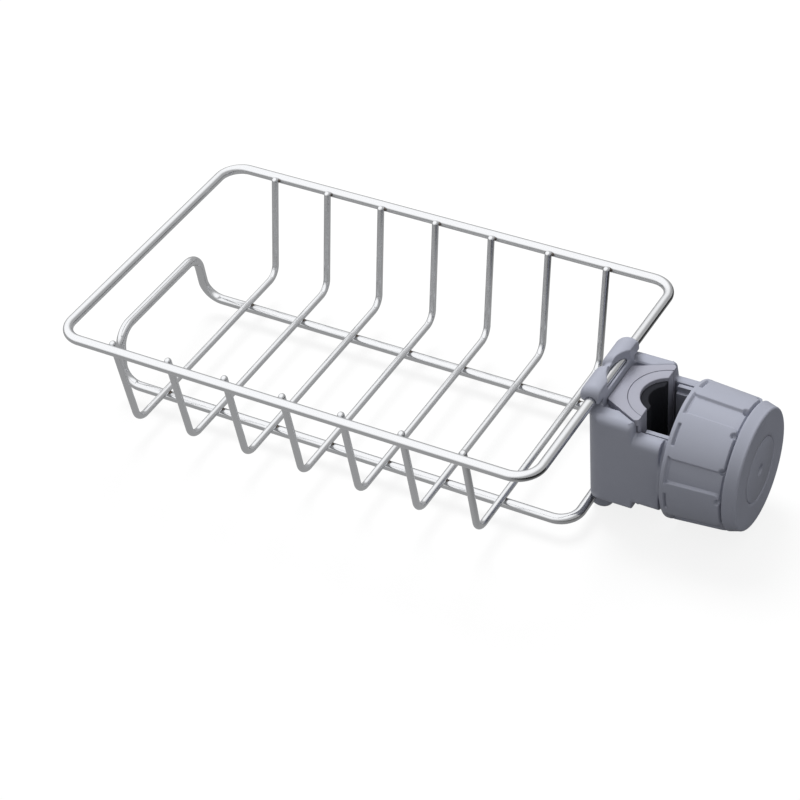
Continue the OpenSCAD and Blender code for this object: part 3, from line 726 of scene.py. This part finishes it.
# A closed body turned round the X axis; its section runs from axis to axis, in millimetres
def turnPiece(name, section, steps, sharpOver, material):
    shape = bmesh.new()
    rings = []
    for x, r in section:
        if r == 0:
            rings.append([shape.verts.new((x * mm, 0, 0))] * steps)
        else:
            rings.append([shape.verts.new((x * mm, r * mm * math.cos(a), r * mm * math.sin(a)))
                          for a in (2 * math.pi * i / steps for i in range(steps))])
    for near, far in zip(rings, rings[1:]):
        for i in range(steps):
            j = (i + 1) % steps
            corners = [near[i], near[j], far[j], far[i]]
            face = shape.faces.new(list(dict.fromkeys(corners)))
            face.smooth = True
    bmesh.ops.recalc_face_normals(shape, faces=shape.faces)
    mesh = bpy.data.meshes.new(name)
    shape.to_mesh(mesh)
    shape.free()
    mesh.set_sharp_from_angle(angle=math.radians(sharpOver))
    mesh.materials.append(material)
    return linkObject(name, mesh)


def makeKnobCap(size):
    back, front, r = size["backX"], size["frontX"], size["r"]
    backEdge, edge, bulge = size["backEdge"], size["frontEdge"], size["bulge"]
    mark, low, draft = size["markR"], front - size["markDepth"], size["draft"]
    dip, rise = size["markRound"]
    pip, pipX = size["pipR"], front - size["pipDrop"]
    section = [(back, 0), (back, r - backEdge), (back + backEdge, r), (front - edge, r),
               (front - edge * bulge, r - edge * bulge), (front, r - edge),
               (front, mark + size["markEdge"]), (front - dip, mark + rise), (low, mark - draft),
               (low, pip + draft), (pipX, pip), (pipX, 0)]
    piece = turnPiece("knobCap", section, size["aroundSteps"], size["sharpOver"], bodyPlastic)
    seatPiece(piece, "knob", "body_plastic", "knob_cap")


makeKnobCap(cap)
print("knob cap turned")

# Moulded parts start from their CAD shape, in the finish of their slot
moulded = {"body_plastic": bodyPlastic, "pad_plastic": padPlastic, "grip_rubber": rubber}
flatWithin = math.radians(0.5)  # faces that bend less than this are one face


# A merged copy of a CAD node, its flat faces joined up and then reshaped as asked
def copyNode(name, nodeName, slotName, reshape=None):
    mesh = nodes[nodeName].data.copy()
    mesh.name = name
    shape = bmesh.new()
    shape.from_mesh(mesh)
    bmesh.ops.remove_doubles(shape, verts=shape.verts, dist=mergeWithin)
    bmesh.ops.dissolve_limit(shape, angle_limit=flatWithin, verts=shape.verts,
                             edges=shape.edges)
    if reshape:
        reshape(shape)
    for face in shape.faces:
        face.smooth = True
    shape.to_mesh(mesh)
    shape.free()
    mesh.materials.clear()
    mesh.materials.append(moulded[slotName])
    return linkObject(name, mesh)


def addModifier(piece, name, kind, settings):
    modifier = piece.modifiers.new(name, kind)
    for key, value in settings.items():
        setattr(modifier, key, value)


# The clamp's block has its jaw corners rounded off further than its other edges, and a
# broken edge on the recess for the pads' flange, which shows as a dark line. Its skin is
# then rebuilt and softened, which eases every other edge
clampBody = {
    # Where the jaw corners are, how close an edge lies to be one of them, and their round
    "x": -4.6 * mm, "halfWidth": 18.4 * mm, "top": 18.6 * mm, "edgeR": 3 * mm,
    "lowest": 13.9 * mm, "near": (0.02 * mm, 0.05 * mm, 0.1 * mm),
    "round": 1.5 * mm, "roundSteps": 5,
    # Where the recess is, how upright its wall and how level its top, and the edge's width
    "seamZ": (17 * mm, 18.65 * mm), "seamX": (-17.1 * mm, -4.5 * mm),
    "upright": 0.05, "level": 0.5, "seam": 0.6 * mm,
    "voxel": 0.25 * mm, "soften": 0.5, "passes": 5,
    "keep": 0.5,  # share of the faces left in the end
}


def roundJawCorners(shape, size):
    centre = Vector((size["halfWidth"] - size["edgeR"], size["top"] - size["edgeR"]))
    nearX, nearSide, nearRound = size["near"]
    chosen = []
    for edge in shape.edges:
        a, b = (vert.co for vert in edge.verts)
        middle = (a + b) / 2
        if max(abs(a.x - size["x"]), abs(b.x - size["x"])) > nearX or middle.z < size["lowest"]:
            continue
        spot = Vector((abs(middle.y), middle.z))
        onSide = spot.y < centre.y and abs(spot.x - size["halfWidth"]) < nearSide
        onRound = spot.y >= centre.y and abs((spot - centre).length - size["edgeR"]) < nearRound
        if onSide or onRound:
            chosen.append(edge)
    bmesh.ops.bevel(shape, geom=chosen, offset=size["round"], segments=size["roundSteps"],
                    profile=0.5, affect="EDGES", clamp_overlap=False)


def openPadSeam(shape, size):
    (low, high), (back, front) = size["seamZ"], size["seamX"]
    chosen = []
    for edge in shape.edges:
        if len(edge.link_faces) != 2:
            continue
        middle = (edge.verts[0].co + edge.verts[1].co) / 2
        if not (low < middle.z < high and back < middle.x < front):
            continue
        wall, top = sorted(edge.link_faces, key=lambda face: face.normal.z)
        inwards = wall.normal.x * middle.x + wall.normal.y * middle.y < 0
        meets = abs(wall.normal.z) < size["upright"] and top.normal.z > size["level"]
        if meets and inwards and edge.is_convex:
            chosen.append(edge)
    bmesh.ops.bevel(shape, geom=chosen, offset=size["seam"], segments=1, affect="EDGES",
                    clamp_overlap=False)


def makeClampBody(size):
    def reshape(shape):
        roundJawCorners(shape, size)
        openPadSeam(shape, size)

    piece = copyNode("clampBody", "clamp_body", "body_plastic", reshape)
    addModifier(piece, "skin", "REMESH", {"mode": "VOXEL", "voxel_size": size["voxel"],
                                          "use_smooth_shade": True})
    addModifier(piece, "soften", "SMOOTH", {"factor": size["soften"],
                                            "iterations": size["passes"]})
    addModifier(piece, "thin", "DECIMATE", {"ratio": size["keep"]})
    bakePiece(piece)
    seatPiece(piece, "clamp", "body_plastic", "clamp_body")


makeClampBody(clampBody)

# The other moulded parts have every sharp edge eased, as a mould leaves it
eased = {
    "outerPad": ("outer_pad", "outer_pad", "pad_plastic", 0.42 * mm),
    "innerPad": ("inner_pad", "inner_pad", "pad_plastic", 0.3 * mm),
    "thrustBlock": ("thrust_block", "thrust", "body_plastic", 0.25 * mm),
    "gripLiner": ("grip_liner", "inner_pad", "grip_rubber", 0.25 * mm),
    "thrustPad": ("thrust_pad", "thrust", "grip_rubber", 0.25 * mm),
}
easing = {"segments": 3, "limit_method": "ANGLE", "angle_limit": math.radians(32),
          "harden_normals": True}


def easeEdges(name, nodeName, body, slotName, width):
    piece = copyNode(name, nodeName, slotName)
    addModifier(piece, "edges", "BEVEL", {"width": width, **easing})
    bakePiece(piece)
    seatPiece(piece, body, slotName, nodeName)


for name, part in eased.items():
    easeEdges(name, *part)
print("moulded edges eased")

# Thread on the round arms: low, rounded ridges that fade out at each arm's edges
armThread = {
    "pitch": 4 * mm,
    "armR": 19.1 * mm,
    "ridgeR": 0.42 * mm,
    "proud": 0.26 * mm,
    "start": 5.4 * mm,
    "end": 22.6 * mm,
    "flat": 13.9 * mm,  # each arm starts this far from the middle
    "steps": 26,
}


def makeArmThread(size):
    points, edges = [], []
    middle = size["armR"] + size["proud"] - size["ridgeR"]
    half = math.acos(size["flat"] / middle)
    for side in (0, 1):
        turn = 0
        while True:
            start = size["start"] + size["pitch"] * (turn + side / 2)
            if start + size["pitch"] * half / math.pi > size["end"]:
                break
            first = len(points)
            for i in range(size["steps"] + 1):
                angle = -half + 2 * half * i / size["steps"]
                x = start + size["pitch"] * (angle + half) / (2 * math.pi)
                around = angle + math.pi * side
                points.append((x, middle * math.cos(around), middle * math.sin(around)))
            edges += [(first + i, first + i + 1) for i in range(size["steps"])]
            turn += 1
    mesh = bpy.data.meshes.new("threadPath")
    mesh.from_pydata(points, edges, [])
    mesh.attributes.new("corner", "FLOAT", "POINT")
    piece = growPiece("armThread", wireTree, mesh,
                      {"Wire radius": size["ridgeR"], "Bend radius": 0, "Material": bodyPlastic})
    seatPiece(piece, "clamp", "body_plastic")


makeArmThread(armThread)
print("arm thread cut")

# CAD nodes that stay as they are, with their materials
kept = {"retaining_screw": zinc, "retaining_washer": zinc}
for name, material in kept.items():
    nodes[name].data.materials.clear()
    nodes[name].data.materials.append(material)

# A white table and a soft studio: bright above, dim low down and to the right
table = {
    "size": 4,
    "drop": 0.2 * mm,
    "colour": "#F4F4F4",
    "bounce": "#A4A4A4",  # what the table throws back on the object
    "glow": 0.85,  # how far the camera sees it as plain white, whatever the shadow
    "mirrored": (0.45, 0.02),  # how bright the table is in the steel, left and right
    "mirroredX": (-0.06, 0.06),  # where the left ends and the right begins
}
whiteLight = (1, 1, 1, 1)


def makeTable(size, height):
    bpy.ops.mesh.primitive_plane_add(size=size["size"], location=(0, 0, height - size["drop"]))
    floor = bpy.context.object
    floor.name = "floor"
    material, tree = newMaterial("whiteTable")
    rays = addNode(tree, "ShaderNodeLightPath").outputs
    mirrored = addNode(tree, "ShaderNodeMath", {"operation": "MAXIMUM"},
                       {0: rays["Is Glossy Ray"], 1: rays["Is Transmission Ray"]})
    matte = addNode(tree, "ShaderNodeBsdfDiffuse", None, {"Color": toLinear(size["bounce"])})
    pale = addNode(tree, "ShaderNodeBsdfDiffuse", None, {"Color": toLinear(size["colour"])})
    glow = addNode(tree, "ShaderNodeEmission", None, {"Color": whiteLight, "Strength": 1})
    white = addNode(tree, "ShaderNodeMixShader", None,
                    {0: size["glow"], 1: pale.outputs[0], 2: glow.outputs[0]})
    place = addNode(tree, "ShaderNodeTexCoord").outputs["Object"]
    along = addNode(tree, "ShaderNodeSeparateXYZ", None, {"Vector": place}).outputs["X"]
    (left, right), (bright, dim) = size["mirroredX"], size["mirrored"]
    fade = addNode(tree, "ShaderNodeMapRange", {"interpolation_type": "SMOOTHSTEP"},
                   {"Value": along, "From Min": left, "From Max": right, "To Min": bright,
                    "To Max": dim})
    shine = addNode(tree, "ShaderNodeEmission", None,
                    {"Color": whiteLight, "Strength": fade.outputs["Result"]})
    seen = addNode(tree, "ShaderNodeMixShader", None,
                   {0: rays["Is Camera Ray"], 1: matte.outputs[0], 2: white.outputs[0]})
    both = addNode(tree, "ShaderNodeMixShader", None,
                   {0: mirrored.outputs[0], 1: seen.outputs[0], 2: shine.outputs[0]})
    addNode(tree, "ShaderNodeOutputMaterial", None, {"Surface": both.outputs[0]})
    floor.data.materials.append(material)


makeTable(table, cadBox[0].z)

sky = {
    "low": 0.24,  # light from just above the table
    "high": 0.76,  # light from overhead
    "towards": (-1, 0, 0),  # the dim side of the room
    "dim": 0.2,
    "softBox": (-0.45, -0.15, 0.88),  # where the broad lamp overhead hangs, as steel sees it
    "mirrorFade": (0.12, 0.7),  # cosines of the angle from it where it begins and is full
    "mirror": (0.52, 1.45),  # how bright the room and the soft box are in the steel
}


def makeSky(size):
    world = bpy.data.worlds.new("studio")
    scene.world = world
    world.use_nodes = True
    tree = world.node_tree
    tree.nodes.clear()
    direction = addNode(tree, "ShaderNodeTexCoord").outputs["Generated"]
    height = addNode(tree, "ShaderNodeSeparateXYZ", None, {"Vector": direction}).outputs["Z"]
    side = addNode(tree, "ShaderNodeVectorMath", {"operation": "DOT_PRODUCT"},
                   {0: direction, 1: size["towards"]}).outputs["Value"]
    soft = addNode(tree, "ShaderNodeMapRange", None,
                   {"Value": height, "From Min": 0, "From Max": 1, "To Min": size["low"],
                    "To Max": size["high"]})
    dimmed = addNode(tree, "ShaderNodeMath", {"operation": "MULTIPLY"}, {0: side, 1: size["dim"]})
    share = addNode(tree, "ShaderNodeMath", {"operation": "SUBTRACT"},
                    {0: 1, 1: dimmed.outputs[0]})
    lit = addNode(tree, "ShaderNodeMath", {"operation": "MULTIPLY"},
                  {0: soft.outputs["Result"], 1: share.outputs[0]})
    box = addNode(tree, "ShaderNodeVectorMath", {"operation": "DOT_PRODUCT"},
                  {0: direction, 1: size["softBox"]}).outputs["Value"]
    (edge, full), (room, lamp) = size["mirrorFade"], size["mirror"]
    mirror = addNode(tree, "ShaderNodeMapRange", {"interpolation_type": "SMOOTHSTEP"},
                     {"Value": box, "From Min": edge, "From Max": full, "To Min": room,
                      "To Max": lamp})
    rays = addNode(tree, "ShaderNodeLightPath").outputs
    strength = addNode(tree, "ShaderNodeMix", {"data_type": "FLOAT"},
                       {"Factor": rays["Is Glossy Ray"], 2: lit.outputs[0],
                        3: mirror.outputs["Result"]})
    seen = addNode(tree, "ShaderNodeMix", {"data_type": "FLOAT"},
                   {"Factor": rays["Is Camera Ray"], 2: strength.outputs[0], 3: 1})
    glow = addNode(tree, "ShaderNodeBackground", None,
                   {"Color": whiteLight, "Strength": seen.outputs[0]})
    addNode(tree, "ShaderNodeOutputWorld", None, {"Surface": glow.outputs[0]})


makeSky(sky)

# One broad lamp overhead, beyond the basket
keyLamp = {"place": (-0.35, 0.36, 0.82), "target": (0, 0, 0), "size": (0.5, 0.5), "power": 8.6}


def makeLamp(name, look):
    data = bpy.data.lights.new(name, "AREA")
    data.shape = "RECTANGLE"
    data.size, data.size_y = look["size"]
    data.energy = look["power"]
    lamp = bpy.data.objects.new(name, data)
    lamp.visible_glossy = False  # the sky's soft box stands for it in the steel
    away = (Vector(look["place"]) - Vector(look["target"])).normalized()
    turn = away.to_track_quat("Z", "Y").to_matrix().to_4x4()
    lamp.matrix_world = Matrix.Translation(look["place"]) @ turn
    scene.collection.objects.link(lamp)


makeLamp("keyLamp", keyLamp)
print("lights set")
